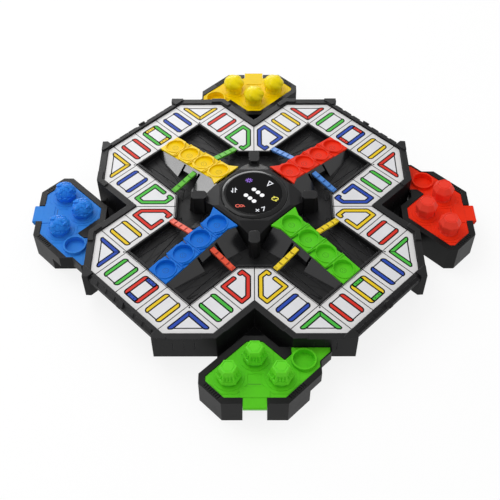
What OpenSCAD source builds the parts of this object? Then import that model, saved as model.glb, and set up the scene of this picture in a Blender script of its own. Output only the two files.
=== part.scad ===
// Electronic ludo game: a cross-shaped board with a press-to-roll hub, four raised
// home ramps, and four trays of playing pieces that stand against its cut corners.
// Millimetres, +Z up, table at z = 0, arms of the board along X and Y, centre at x = y = 0.

/* [Track] */
// Length of a cell along an arm
cell = 30; // [28:0.5:32]
// Length of the pointed cell at the inner end of a lane
tip_cell = 55; // [52:1:58]
// Width of the white lane round the track
lane = 39.5; // [37:0.5:42]
// Centre to the slanted outer edge of a corner cell
corner_cut = 156.8; // [154:0.2:159]
// Centre to the slanted inner edge of a pointed cell
tip_cut = 79.7; // [76:0.1:83]
// Thickness of a white plate
plate_t = 2; // [1.6:0.2:3]
// Gap round every white plate
plate_gap = 0.4; // [0.2:0.1:0.6]
// Width of the coloured bars in the plates
bar_w = 3.4; // [2.4:0.2:4.4]
// Depth of the coloured bars in the plates
bar_t = 0.8; // [0.5:0.1:1.2]
// Bar outline to cell edge, along the path
mark_end = 5.2; // [4:0.2:7]
// Bar outline to cell edge, across the path
mark_side = 6.3; // [5:0.1:8]
// Corner radius of the bar outline
mark_r = 3; // [2:0.25:4]

/* [Board] */
// Height of the rail above the table
board_h = 41; // [38:0.5:46]
// Width of the black rail round the board
rail_w = 6.7; // [5.5:0.1:8]
// Width of the lip between plates and well
lip_w = 1.8; // [1.2:0.1:2.6]
// Depth of the plates below the rail
plate_drop = 2; // [1.5:0.1:2.6]
// Depth of the well below the rail
well_drop = 7; // [6.2:0.2:8]
// Thickness of the well floor
floor_t = 2.4; // [2:0.2:3]
// Clear height under the board's skirt
skirt_gap = 13; // [10:0.5:16]
// How much lower the skirt hangs behind the trays
notch_drop = 3; // [0:0.5:5]
// Thickness of the skirt and of the base tub
wall = 2.4; // [2:0.2:3]
// Height of the end rails
end_rail_h = 11; // [10:0.5:13]
// Width of the finger gap under an end rail
end_gap = 92; // [88:1:94]
// How far the leg blocks stand out past the rail
leg_out = 5; // [3:0.5:6]
// Height of the knuckles above the rail
knuckle_h = 1.4; // [1:0.2:2]
// Depth of the crease lines in the well floor
crease_d = 0.6; // [0.4:0.1:1]

/* [Home ramps] */
// Width of a ramp
ramp_w = 24.8; // [23.4:0.2:26]
// Rise of a ramp from its foot to the hub
ramp_rise = 14.6; // [12:0.2:16]
// Height of the foot of a ramp above the rail
ramp_foot = 0.3; // [0:0.1:1]
// Thickness of the coloured plate of a ramp
ramp_t = 2; // [1.6:0.1:2.6]
// Radius of the pockets in a ramp
pocket_r = 9.7; // [9:0.1:10.2]
// Distance between the pockets of a ramp
pocket_pitch = 22.6; // [22:0.1:23]
// Outermost pocket to the foot of the ramp
pocket_first = 10.5; // [10.4:0.1:12]
// Depth of a pocket at its low side
pocket_d = 1; // [0.6:0.1:1.6]
// Width over the ears at the hub
ear_w = 34.2; // [32:0.2:36]
// Width of a bridge bar
bridge_w = 5.4; // [4.4:0.2:6.4]
// Distance of the bridges from the centre
bridge_u = 72.9; // [71:0.1:75]

/* [Hub] */
// Half width of the hub across its flats
hub_half = 38.2; // [38:0.2:40]
// Centre to the cut corners of the hub
hub_corner = 48.5; // [47:0.5:50]
// Height of the hub above the rail
hub_h = 16; // [15:0.5:18]
// Size of the bevel round the hub top
hub_bevel = 3; // [2:0.25:3.5]
// Drop of the hub top from its flat to a cut corner
corner_drop = 5; // [4:0.25:6]
// Reach of the corner posts at the floor of the well
post_reach = 65.7; // [62:0.5:68]
// Width of the corner posts
post_w = 11; // [10:0.2:12]
// Height of the corner posts below the hub top
post_down = 0.6; // [0:0.1:3]
// Outer radius of the roll button
button_r = 33.2; // [32.4:0.1:33.6]
// Radius of the display glass
glass_r = 28; // [27:0.1:29]
// Thickness of the display glass
glass_t = 2; // [1.6:0.1:2.4]
// Drop of the button's rounded rim from the glass to its edge
rim_drop = 1.6; // [1:0.1:2]
// Height of the button above the hub
button_up = 1.4; // [1:0.1:2]
// Travel of the roll button
roll_travel = 1.5; // [1:0.1:1.8]

/* [Trays] */
// Height of a tray's insert above the table
tray_h = 28.4; // [27:0.2:30]
// Height of a tray's rim above its insert
rim_up = 0.8; // [0.4:0.1:1.2]
// Centre of the board to the front face of a tray
tray_out = 222; // [220:0.5:224]
// Half width of a tray's front face
tray_front = 29.4; // [28:0.2:31]
// Half width of a tray's deep body
tray_half = 49.8; // [49:0.2:51]
// Where the slanted back sides of a tray would meet
tray_back = 141.9; // [140:0.2:143]
// Half width of a tray's blunt back end
apex_half = 9.6; // [8:0.2:11]
// Reach of the tray's shelf past its deep body
shelf_out = 19.8; // [18:0.1:22]
// Height of the tray's shelf
shelf_t = 12; // [10:0.5:14]
// Width of a tray's rim
rim_w = 6; // [5.4:0.1:6.6]
// Thickness of a tray's insert
insert_t = 2.5; // [2.2:0.1:3]
// Width of the finger tab in front of an insert
tab_w = 21; // [18:0.2:24]
// Reach of the finger tab past the front face
tab_out = 4.5; // [3:0.25:6]
// Thickness of the finger tab
tab_t = 5.5; // [4:0.25:7]
// Depth of the notch under the finger tab
notch_d = 13; // [10:0.5:14]
// Radius of the empty pocket in a tray's shelf
spare_r = 9.8; // [9.6:0.1:10.2]
// Height of the collar round the empty pocket
spare_up = 3.5; // [1:0.5:5]
// Depth of the seats of the playing pieces
seat_d = 2.7; // [1.6:0.1:3]

/* [Pieces] */
// Radius of a playing piece's foot
foot_r = 9.5; // [9:0.1:9.6]
// Radius of a playing piece's dome
dome_r = 11.2; // [10.6:0.1:11.6]
// Height of a playing piece
piece_h = 21; // [19.5:0.5:22.5]
// Radius of the flat top of a playing piece
crown_r = 5; // [4:0.1:5.4]

/* [Electrics] */
// Radius of a battery
cell_r = 7.25; // [7:0.05:7.4]
// Length of a battery
cell_l = 50.5; // [49:0.5:51]
// Radius of the speaker
speaker_r = 14; // [12:0.5:16]
// Travel of the power switch
switch_travel = 4; // [3:0.5:5]
// Outer radius of a screw's thread
screw_r = 1.5; // [1.3:0.1:1.7]

/* [Fits] */
// Clearance round seated pieces
fit = 0.2; // [0.1:0.05:0.3]
// Clearance round moving pieces
run = 0.3; // [0.2:0.05:0.4]

/* [Hidden] */
$fn = 48;

// colours, in the order of the arms: blue -Y, green +X, red +Y, yellow -X
PAINT = ["royalblue", "limegreen", "orangered", "gold"];
BLUE = 0;
GREEN = 1;
RED = 2;
YELLOW = 3;
BLACK = "#2a2a2e";
DARK = "#1b1b1d";
WHITE = "#f1f0f3";
diag = sqrt(2);

// plan of the track
well_v = 1.5 * cell;
arm_v = well_v + lane;
tip_u = well_v + tip_cell;
well_u = tip_u + cell;
arm_u = well_u + lane;
rail_u = arm_u + rail_w;
rail_v = arm_v + rail_w;
corner_sum = diag * corner_cut;
rail_sum = diag * (corner_cut + rail_w);
tip_sum = diag * tip_cut;

// heights
plate_z = board_h - plate_drop;
seat_z = plate_z - plate_t;
floor_z = board_h - well_drop;
under_z = floor_z - floor_t;
end_z = board_h - end_rail_h;

// ramps: the top climbs from the foot at well_u to the hub
ramp_in = hub_half + 2;
ramp_slope = ramp_rise / (well_u - ramp_in);
ramp_tilt = atan(ramp_slope);
ramp_half = ramp_w / 2;
cup_r = pocket_r + 1.5;
function ramp_z(u) = board_h + ramp_foot + (well_u - u) * ramp_slope;
function pocket_u(i) = well_u - pocket_first - i * pocket_pitch;
function pocket_z(i) = ramp_z(pocket_u(i) + pocket_r) - pocket_d;

// gussets of the ramp carriers, measured from the foot of the ramp
GUSSETS = [39.5, 40, 62, 65];

// bridges, in section across the arm: on a notch of the lip, up to the flank of the carrier
bridge_t = 2;
bridge_notch = 0.9;
bridge_v0 = well_v - 0.2;
bridge_z0 = board_h + 0.2;
bridge_v1 = ramp_half + 2.2;
bridge_z1 = board_h + 6;
bridge_tilt = atan((bridge_z1 - bridge_z0) / (bridge_v0 - bridge_v1));

// hub and roll button
hub_z = board_h + hub_h;
button_z = hub_z + button_up;
glass_z = button_z - 0.2;
ring_h = 9;
button_low = button_z - ring_h;
button_well = button_low - roll_travel - run;
board_t = 1.6;
board_z = button_well - 8;
room_z = floor_z + floor_t;
switch_x = 24;
switch_h = 4.3;

// base tub and electrics
foot_h = 2;
pad_r = 7;
FOOT = [96, 30];
tub_floor = foot_h + wall;
TUB = [128, 64, 118];
tub_bevel = 22;
SPOTS = [[112, 0], [84, 52], [84, -52]];
boss_r = 3.6;
boss_z = 20;
head_z = 8;
head_r = 2.7;
bay_len = cell_l + 6;
bay_wid = 6 * cell_r + 3;
bay_h = 2 * cell_r + 1;
bay_y = -24;
bay_step = 2 * cell_r + 0.6;
bay_z = tub_floor + cell_r + 0.6;
cover_t = 2;
cover_lip = 1.4;
SPEAKER = [0, 34];
BOARD = [-70, 10];
pcb_z = tub_floor + 6;
knob = 3;

// trays, drawn with the front at -Y
tray_in = corner_cut + rail_w + run;
front_sum = tray_out + tray_front;
rim_z = tray_h + rim_up;
insert_z = tray_h - insert_t;
shelf_x = tray_half + shelf_out;
shelf_step = 10;
shelf_y = -169;
shelf_rim = 1.2;
deep_x = tray_half - run;
notch_half = tab_w / 2 + 0.4;
cup_t = 1.6;
SEATS = [[0, -tray_in - dome_r - 0.2], [-23, -195.5], [23, -195.5]];
SPARE = [tray_half - 5.8, -178];
NOOK = [tray_half - 16.9, -171];
cup_z = tray_h - seat_d;

// points turned about z by k quarter turns
function turn(p, k) = k == 0 ? p : turn([for (q = p) [-q.y, q.x]], k - 1);
function unit(a) = a / norm(a);
function flip(p) = [for (i = [len(p) - 1:-1:0]) [p[i].x, -p[i].y]];
// a polygon drawn anticlockwise with its sides moved in by d, one number or one for each side
function inset(p, d) = let (n = len(p), s = is_list(d) ? d : [for (q = p) d])
    [for (i = [0:n - 1]) let (h = (i + n - 1) % n,
        a = unit(p[i] - p[h]), b = unit(p[(i + 1) % n] - p[i]),
        m = [-a.y, a.x], k = [-b.y, b.x], c = m * k)
        p[i] + ((s[h] - s[i] * c) * m + (s[i] - s[h] * c) * k) / (1 - c * c)];

// outlines of the board and of its well, moved out by g
function board_line(g) = let (u = arm_u + g, v = arm_v + g, s = diag * (corner_cut + g))
    [for (k = [0:3]) each turn([[s - v, -v], [u, u - s], [u, s - u], [s - v, v], [v, v]], k)];
function well_line(g) = let (u = well_u + g, v = well_v + g, s = diag * (tip_cut + g))
    [for (k = [0:3]) each turn([[s - v, -v], [u, -v], [u, v], [s - v, v]], k)];
function tub_line(g) = let (u = TUB[0] + g, v = TUB[1] + g, s = diag * (TUB[2] + g), b = tub_bevel)
    [for (k = [0:3]) each turn([[s - v, -v], [u - b, -v], [u, b - v], [u, v - b], [u - b, v], [s - v, v]], k)];

// the cells of the arm along +X, from seam to seam
function at_side(p, side) = side > 0 ? p : flip(p);
function tip_cell_line(side) = at_side([[tip_sum / 2, tip_sum / 2], [tip_sum - well_v, well_v],
    [tip_u, well_v], [tip_u, arm_v], [arm_v, arm_v]], side);
function lane_cell_line(side) = at_side([[tip_u, well_v], [well_u, well_v], [well_u, arm_v],
    [tip_u, arm_v]], side);
function corner_cell_line(side) = at_side([[well_u, well_v], [arm_u, well_v],
    [arm_u, corner_sum - arm_u], [corner_sum - arm_v, arm_v], [well_u, arm_v]], side);
function end_cell_line(j) = [[well_u, (j - 0.5) * cell], [arm_u, (j - 0.5) * cell],
    [arm_u, (j + 0.5) * cell], [well_u, (j + 0.5) * cell]];
CELLS = [tip_cell_line(-1), lane_cell_line(-1), corner_cell_line(-1), end_cell_line(-1),
    end_cell_line(0), end_cell_line(1), corner_cell_line(1), lane_cell_line(1), tip_cell_line(1)];

// outline of a tray, anticlockwise from the left end of its front face
function tray_line() = let (x = shelf_x - shelf_step)
    [[-tray_front, -tray_out], [tray_front, -tray_out], [x, x - front_sum], [x, shelf_y - shelf_step],
     [shelf_x, shelf_y], [shelf_x, -tray_in], [tray_in - tray_back, -tray_in],
     [apex_half, -tray_back - apex_half], [-apex_half, -tray_back - apex_half],
     [-tray_half, -tray_back - tray_half], [-tray_half, tray_half - front_sum]];
// the insert in it, smaller by g all round
function insert_line(g) = inset(tray_line(), [for (i = [0:10])
    (i > 1 && i < 5 ? shelf_rim : i == 5 ? 0 : rim_w) + g]);

module arms() for (k = [0:3]) rotate(90 * k) children();
module arm(k) rotate(90 * (k - 1)) children();
module corner_of(c) rotate(45 + 90 * [3, 0, 1, 2][c]) children();
module both() {
    children();
    mirror([0, 1, 0]) children();
}
module slab(z0, z1) translate([0, 0, z0]) linear_extrude(z1 - z0) children();
module rod(r, z0, z1) translate([0, 0, z0]) cylinder(r = r, h = z1 - z0);
module block(x0, x1, y0, y1, z0, z1) translate([x0, y0, z0]) cube([x1 - x0, y1 - y0, z1 - z0]);
// a section drawn in (distance from the centre, height), w wide, along +X
module along(w) translate([0, w / 2, 0]) rotate([90, 0, 0]) linear_extrude(w) children();
// a section drawn in (y, height), from x0 to x1
module across(x0, x1) translate([x0, 0, 0]) rotate([90, 0, 90]) linear_extrude(x1 - x0) children();

// the coloured bars, drawn flat in the plan of an arm

module round_box(w, h, r) {
    square([w - 2 * r, h], center = true);
    square([w, h - 2 * r], center = true);
    for (x = [-1, 1], y = [-1, 1]) translate([x * (w / 2 - r), y * (h / 2 - r)]) circle(r);
}
mark_l = cell - 2 * mark_end;
mark_w = lane - 2 * mark_side;
// the two bars of a plain cell, with the path along x, or along y when turned
module pair_bars(x, y, turned) translate([x, y]) rotate(turned ? 90 : 0) intersection() {
    round_box(mark_l, mark_w, mark_r);
    for (s = [-1, 1]) translate([s * (mark_l - bar_w) / 2, 0]) square([bar_w, mark_w], center = true);
}
// the short bars that join the two long ones of a start cell
module short_bars(x) for (s = [-1, 1]) translate([x + s * (mark_w - bar_w) / 2, 0])
    square([bar_w, mark_l - 2 * bar_w - 2 * plate_gap], center = true);
module corner_bars() difference() {
    leg = corner_sum - diag * mark_side - well_u - well_v - 2 * mark_end;
    angle = [[0, 0], [leg, 0], [0, leg]];
    translate([well_u + mark_end, well_v + mark_end]) polygon(angle);
    translate([well_u + mark_end + bar_w, well_v + mark_end + bar_w]) polygon(angle);
}
function tip_mark() = let (a = tip_sum - well_v - 1.1, v = well_v + mark_end, e = tip_u - mark_end,
    t = arm_v - mark_side) [[a, v], [e, v], [e, t], [t + 6, t], [a, a - 6]];
module tip_bars() difference() {
    polygon(tip_mark());
    polygon(inset(tip_mark(), bar_w));
    translate([bridge_u + 2.6, well_v + mark_end + bar_w / 2]) square([bridge_w, bar_w + 1], center = true);
}
// the bars of one colour on the arm along +X, d turns from the arm's own colour
lane_mid = (well_v + arm_v) / 2;
end_mid = (well_u + arm_u) / 2;
module arm_bars(d) {
    if (d == 0) {
        both() corner_bars();
        short_bars(end_mid);
    }
    if (d == 1) {
        pair_bars(well_u - cell / 2, lane_mid, false);
        pair_bars(end_mid, -cell, true);
    }
    if (d == 2) {
        both() tip_bars();
        pair_bars(end_mid, 0, true);
    }
    if (d == 3) {
        pair_bars(well_u - cell / 2, -lane_mid, false);
        pair_bars(end_mid, cell, true);
    }
}
module track(k) color(WHITE) arm(k) difference() {
    for (p = CELLS) slab(seat_z, plate_z) polygon(inset(p, plate_gap));
    slab(plate_z - bar_t, plate_z + 1) for (d = [0:3]) arm_bars(d);
}
module marks(c) color(PAINT[c]) for (k = [0:3]) arm(k)
    slab(plate_z - bar_t, plate_z) arm_bars((c - k + 4) % 4);

// the board's black mouldings

// leg blocks at both ends of an end rail, standing out past it
function leg_line() = let (u = rail_u + leg_out, w = rail_sum - rail_u + 4)
    [[arm_u + fit, end_gap / 2], [rail_u + 1.5, end_gap / 2], [u, rail_sum - u], [rail_u - 4, w],
     [arm_u + fit, w - 2]];
// raised knuckles over the legs and over the outer corners of the notches
module knuckles() both() {
    slab(board_h - 1, board_h + knuckle_h) intersection() {
        polygon(leg_line());
        translate([arm_u + 1, 0]) square(rail_u);
    }
    slab(board_h - 1, board_h + knuckle_h) polygon([[rail_sum - rail_v - 12, rail_v],
        [rail_sum - rail_v - 12, arm_v + 1.4], [corner_sum - arm_v + 0.6, arm_v + 1.4],
        [corner_sum - arm_v + 8.2, arm_v - 6.4], [rail_sum - rail_v + 9, rail_v - 9],
        [rail_sum - rail_v, rail_v]]);
}
// shallow upright grooves that part the skirt into bricks
module skirt_grooves() {
    both() for (i = [0:2]) translate([rail_v + 9 + 13 * i, rail_v, (skirt_gap + end_z) / 2])
        cube([0.8, 1, end_z - skirt_gap - 5], center = true);
    rotate(45) for (s = [-1, 1], j = [0:2]) translate([corner_cut + rail_w, s * (54 + 10 * j), board_h - 11])
        cube([1, 0.8, 12], center = true);
}
// crease lines over the floor of the well, each from one point to another
CREASES = [[[127, 35], [98, 44]], [[127, 35], [70, 32]], [[118, 20], [70, 32]], [[86, 44], [60, 44]],
    [[70, 32], [60, 44]], [[127, 35], [112, 44]], [[98, 44], [70, 32]]];
module creases() both() for (c = CREASES) let (l = norm(c[1] - c[0])) translate([c[0].x, c[0].y, floor_z])
    rotate(atan2(c[1].y - c[0].y, c[1].x - c[0].x)) translate([l / 2, 0, 0])
        cube([l, 0.8, 2 * crease_d], center = true);

module skirt_line() difference() {
    polygon(board_line(rail_w));
    polygon(board_line(rail_w - wall));
}
module top_housing() color(BLACK) difference() {
    union() {
        difference() {
            union() {
                slab(under_z, board_h) polygon(board_line(rail_w));
                slab(skirt_gap, under_z + 1) skirt_line();
                // behind the trays it hangs lower
                slab(skirt_gap - notch_drop, under_z) intersection() {
                    skirt_line();
                    arms() polygon([[0, 0], [rail_sum - rail_v, rail_v], [rail_sum, rail_sum],
                        [rail_v, rail_sum - rail_v]]);
                }
            }
            // seats for the plates, leaving the lip, and the well
            slab(seat_z, board_h + 1) difference() {
                polygon(board_line(0));
                polygon(well_line(0));
            }
            slab(floor_z, board_h + 1) polygon(well_line(-lip_w));
            arms() {
                // the end, where an end rail and the finger gap under it go
                block(arm_u, rail_u + 9, -end_gap / 2, end_gap / 2, skirt_gap - 1, board_h + 1);
                // hollows under the plates
                for (p = CELLS) slab(under_z - 1, seat_z - floor_t) polygon(inset(p, wall));
                // foot of the ramp, and ends of the bridges
                block(well_u - lip_w - 1, well_u + 1, -ramp_half - fit, ramp_half + fit, plate_z, board_h + 1);
                both() block(bridge_u - bridge_w / 2 - fit, bridge_u + bridge_w / 2 + fit, well_v - 5, well_v,
                    board_h - bridge_notch, board_h + 1);
                creases();
                skirt_grooves();
            }
        }
        arms() {
            both() slab(skirt_gap, board_h) polygon(leg_line());
            knuckles();
            for (p = SPOTS) translate(p) rod(boss_r, boss_z, floor_z - 0.5);
            both() translate(SPOTS[1]) rod(boss_r, boss_z, seat_z - floor_t + 0.5);
        }
    }
    arms() for (p = SPOTS) translate(p) rod(screw_r + 0.05, boss_z - 1, under_z + 0.8);
    // way for the leads of the hub
    rod(9, under_z - 1, floor_z + 1);
}

// an end rail: a slanted face with six slanted panels and a hexagon knob
module end_rails() color(BLACK) arms() {
    w = end_gap - 2 * fit;
    nose = rail_u + 0.6;
    low = board_h - 3.6;
    high = board_h + 0.3;
    back = rail_u - 3;
    face = atan((high - low) / (nose - back));
    difference() {
        along(w) polygon([[arm_u + fit, end_z], [rail_u - 2, end_z], [nose, end_z + 3], [nose, low],
            [back, high], [arm_u + fit, high]]);
        translate([nose, 0, end_z + 5]) cube([0.8, w - 8, 0.8], center = true);
    }
    translate([(nose + back) / 2, 0, (low + high) / 2]) rotate([0, 90 - face, 0]) {
        for (s = [-1, 1], i = [0:2]) translate([0, s * (13.4 + 12.6 * i), -0.2])
            linear_extrude(0.9) polygon([[-2, -5.2], [2, -4], [2, 5.2], [-2, 4]]);
        rotate(30) rod(4.2, -1, 2, $fn = 6);
    }
}

// home ramps

// a section drawn across the arm, top at the height 0, laid along the slope of the ramp
module along_ramp(u0, u1) translate([well_u, 0, board_h + ramp_foot]) rotate([0, ramp_tilt, 0])
    across(-(well_u - u0) / cos(ramp_tilt), (u1 - well_u) / cos(ramp_tilt)) children();
function ramp_line() = let (n = ramp_in + 9) [[well_u, -ramp_half], [well_u, ramp_half], [n, ramp_half],
    [ramp_in, ear_w / 2], [ramp_in, -ear_w / 2], [n, -ramp_half]];
module pockets(r, z, up) for (i = [0:3]) translate([pocket_u(i), 0, 0]) rod(r, pocket_z(i) + z, up);
module ramp(c) color(PAINT[c]) arm(c) difference() {
    union() {
        // the sloping plate with its cups
        intersection() {
            slab(floor_z, hub_z) polygon(ramp_line());
            union() {
                along_ramp(ramp_in - 10, well_u + 10) translate([-30, -ramp_t]) square([60, ramp_t]);
                intersection() {
                    pockets(cup_r, -1.4, hub_z);
                    along_ramp(ramp_in - 10, well_u + 10) translate([-30, -30]) square([60, 29.5]);
                }
            }
        }
        // rims of the pockets and twin ridges between them
        intersection() {
            along_ramp(ramp_in, well_u) translate([-ramp_half, -0.5]) square([ramp_w, 1.3]);
            union() {
                pockets(pocket_r + 1.2, 0, hub_z + 5);
                for (i = [0:2], s = [-1, 1]) translate([pocket_u(i) - pocket_pitch / 2 + s * 1.1, 0, hub_z - 10])
                    cube([0.9, ramp_w, 40], center = true);
            }
        }
    }
    pockets(pocket_r, 0, hub_z + 10);
    // small three-cornered dips at the ends of the ridges
    for (i = [0:2]) let (u = pocket_u(i) - pocket_pitch / 2, z = ramp_z(u + 7) - 1) {
        slab(z, hub_z) polygon([[u - 1, -ramp_half - 1], [u + 9, -ramp_half - 1], [u + 1.4, 8.6 - ramp_half]]);
        slab(z + 1.4, hub_z) polygon([[u - 1, ramp_half + 1], [u - 1.6, ramp_half - 4], [u - 11, ramp_half + 1]]);
    }
}
module bridge_section(g) polygon([[bridge_v0, bridge_z0], [bridge_v1 - g, bridge_z1],
    [bridge_v1 - g, bridge_z1 - bridge_t - g], [well_v - lip_w - 0.4, board_h - bridge_notch - bridge_t + 1 - g],
    [well_v - lip_w - 0.4, board_h - bridge_notch], [bridge_v0, board_h - bridge_notch]]);
module bridges(c) color(PAINT[c]) arm((c + 2) % 4) both() difference() {
    across(bridge_u - bridge_w / 2, bridge_u + bridge_w / 2) bridge_section(0);
    // three ticks across the top
    for (i = [1:3]) translate([bridge_u, bridge_v0 + (bridge_v1 - bridge_v0) * i / 4,
        bridge_z0 + (bridge_z1 - bridge_z0) * i / 4]) rotate([-bridge_tilt, 0, 0])
            cube([bridge_w - 1.6, 0.9, 0.6], center = true);
}
// black carriers: flanks that flare to the floor of the well, in three gussets
module ramp_carriers() color(DARK) arms() difference() {
    w = ramp_half - 0.4;
    deep = hub_z - floor_z + 8;
    u0 = ramp_in + fit;
    u1 = well_u - lip_w - fit;
    intersection() {
        along_ramp(u0 - 10, u1 + 10) translate([0, -ramp_t])
            polygon([[-w, 0], [-w - deep, -deep], [w + deep, -deep], [w, 0]]);
        block(u0, u1, -60, 60, floor_z, hub_z);
    }
    intersection() {
        pockets(cup_r + fit, -1.4 - fit, hub_z);
        block(u0, u1 + 9, -60, 60, floor_z + 0.6, hub_z);
    }
    // the flanks step in between the gussets
    both() {
        block(well_u - GUSSETS[2], well_u - GUSSETS[1], ramp_half + 5, 60, floor_z - 1, hub_z);
        block(well_u - GUSSETS[1] - 2, well_u - GUSSETS[0], ramp_half + 0.4, 60, floor_z - 1, hub_z);
        block(well_u - GUSSETS[3], well_u - GUSSETS[2], ramp_half + 1.2, 60, floor_z - 1, hub_z);
        across(bridge_u - bridge_w / 2 - fit, bridge_u + bridge_w / 2 + fit) bridge_section(fit);
    }
}

// hub

// a bar with its sides at the distance a, sloping down by drop from the flat of the hub top
module hub_bar(a, drop) let (flat = hub_half - hub_bevel) along(4 * a) polygon([[-a, floor_z - 1],
    [a, floor_z - 1], [a, hub_z - drop], [flat, hub_z], [-flat, hub_z], [-a, hub_z - drop]]);
post_z = hub_z - post_down;
post_in = hub_corner - 0.7;
post_lean = 2.4;
post_cut = 2.5;
module corner_post() intersection() {
    slab(floor_z - 2, post_z) let (h = post_w / 2, a = post_in, b = post_reach, c = post_cut,
        d = post_cut + post_lean) polygon([[a, c - h], [a + c, -h], [b - d, -h], [b, d - h], [b, h - d],
            [b - d, h], [a + c, h], [a, h - c]]);
    along(2 * post_w) polygon([[post_in - 9, floor_z - 3], [post_reach + post_lean * 3 / (post_z - floor_z),
        floor_z - 3], [post_reach - post_lean, post_z], [post_reach - post_lean, post_z + 1],
        [post_in - 9, post_z + 1]]);
}
module hub_housing() color(BLACK) difference() {
    union() {
        intersection() {
            hub_bar(hub_half, 0.7 * hub_bevel);
            rotate(90) hub_bar(hub_half, 0.7 * hub_bevel);
            rotate(45) hub_bar(hub_corner, corner_drop);
            rotate(135) hub_bar(hub_corner, corner_drop);
        }
        for (a = [45:90:315]) rotate(a) corner_post();
    }
    // flat underside
    block(-2 * hub_half, 2 * hub_half, -2 * hub_half, 2 * hub_half, floor_z - 9, floor_z);
    // well of the button, and the room under it
    rod(button_r + run, button_well, hub_z + 1);
    rod(button_r - 3, room_z, hub_z);
    rod(9, floor_z - 1, room_z + 1);
}

// the roll button: a ring that carries the glass, with a finger over its switch
module button_ring() color(DARK) {
    rim = button_r - glass_r - 2 * fit;
    rotate_extrude($fn = 96) polygon(concat([[glass_r - 1.6, button_low], [button_r, button_low]],
        [for (t = [0:15:90]) [button_r - rim * (1 - cos(t)), button_z - rim_drop * (1 - sin(t))]],
        [[glass_r + fit, button_z], [glass_r + fit, glass_z - glass_t], [glass_r - 1.6, glass_z - glass_t]]));
    difference() {
        rod(glass_r - 1, button_low, button_low + 1.5);
        rod(switch_x - 4, 0, hub_z + 9);
        block(-60, switch_x - 8, -60, 60, 0, hub_z + 9);
    }
    translate([switch_x, 0, 0]) rod(2, board_z + board_t + switch_h + roll_travel + 0.1, button_low + 1);
}
module display_glass() color("#08080a") rod(glass_r, glass_z - glass_t, glass_z);
module display_board() color("#1d5c3a") {
    rod(button_r - 3 - fit, board_z, board_z + board_t);
    for (a = [45:90:315]) rotate(a) translate([20, 0]) rod(2.5, room_z, board_z + 1);
}
module roll_switch() color("dimgray") translate([switch_x, 0, board_z + board_t]) {
    block(-3, 3, -3, 3, 0, 3.4);
    rod(1.7, 0, switch_h);
}

// base tub and electrics

module base_housing() color(BLACK) difference() {
    union() {
        difference() {
            slab(foot_h, under_z) polygon(tub_line(0));
            slab(tub_floor, under_z + 1) polygon(tub_line(-wall));
        }
        // battery bay, speaker ring, pillars of the main board and screw tubes
        block(-bay_len / 2 - wall, bay_len / 2 + wall, bay_y - bay_wid / 2 - wall, bay_y + bay_wid / 2 + wall,
            foot_h, tub_floor + bay_h + wall);
        translate(SPEAKER) rod(speaker_r + wall, foot_h, tub_floor + 4);
        translate(BOARD) for (x = [-30, 30], y = [-18, 18]) translate([x, y]) rod(3, foot_h, pcb_z);
        arms() for (p = SPOTS) translate(p) rod(boss_r, foot_h, boss_z);
    }
    translate(SPEAKER) {
        rod(speaker_r + fit, tub_floor, tub_floor + 9);
        for (i = [-3:3], j = [-3:3]) if (norm([i, j]) < 3.2)
            translate([i * 3.4, j * 3.4]) rod(0.8, foot_h - 1, tub_floor + 1);
    }
    // battery bay, open below, and the ledge for its cover
    translate([0, bay_y, 0]) {
        block(-bay_len / 2, bay_len / 2, -bay_wid / 2, bay_wid / 2, foot_h - 1, tub_floor + bay_h);
        block(-bay_len / 2 - cover_lip, bay_len / 2 + cover_lip, -bay_wid / 2 - cover_lip,
            bay_wid / 2 + cover_lip, foot_h - 1, foot_h + cover_t);
    }
    // slot of the power switch
    translate(BOARD) block(-knob - run, knob + run, -2 - switch_travel / 2 - run, 2 + switch_travel / 2 + run,
        foot_h - 1, tub_floor + 1);
    arms() for (p = SPOTS) translate(p) {
        rod(screw_r + 0.3, foot_h - 1, boss_z + 1);
        rod(head_r + fit, foot_h - 1, head_z);
    }
    arms() translate(FOOT) rod(pad_r + fit, foot_h - 1, foot_h + 1);
}
module battery_cover() color(BLACK) translate([0, bay_y, 0]) {
    g = cover_lip - run;
    block(-bay_len / 2 - g, bay_len / 2 + g, -bay_wid / 2 - g, bay_wid / 2 + g, foot_h, foot_h + cover_t - 0.1);
    for (i = [-2:2]) translate([bay_len / 2 - 8, i * 3, foot_h]) cube([8, 1, 0.8], center = true);
}
module batteries() color("silver") translate([0, bay_y, bay_z]) for (i = [-1:1])
    translate([0, i * bay_step, 0]) rotate([0, i == 0 ? -90 : 90, 0]) {
        rod(cell_r, -cell_l / 2, cell_l / 2 - 1.5);
        rod(2.6, cell_l / 2 - 1.5, cell_l / 2);
    }
// a plate on the end wall and a coil cone or stud that meets each battery
module battery_contacts() color("silver") translate([0, bay_y, bay_z]) for (s = [-1, 1], i = [-1:1])
    rotate(s > 0 ? 0 : 180) translate([0, i * bay_step, 0]) {
        block(bay_len / 2 - 0.7, bay_len / 2 - 0.1, -4.5, 4.5, -4.5, 4.5);
        rotate([0, 90, 0]) rod(2.4, cell_l / 2 + 0.1, bay_len / 2 - 0.5);
    }
module main_board() color("#1d5c3a") translate(BOARD) {
    block(-36, 36, -24, 24, pcb_z, pcb_z + board_t);
    block(10, 26, -8, 8, pcb_z + board_t, pcb_z + board_t + 3);
    // fixed half of the power switch
    block(-5, 5, -7, 7, tub_floor + 3.3 + run, pcb_z);
}
module speaker() color("dimgray") translate(SPEAKER) {
    rod(speaker_r, tub_floor, tub_floor + 3.5);
    rod(speaker_r * 0.6, tub_floor + 3.5, tub_floor + 6);
}
module power_switch() color("dimgray") translate([BOARD.x, BOARD.y - switch_travel / 2, 0]) {
    block(-knob, knob, -2, 2, foot_h + 0.6, tub_floor + run + 0.5);
    block(-5, 5, -4, 4, tub_floor + run, tub_floor + 3.3);
}
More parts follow.
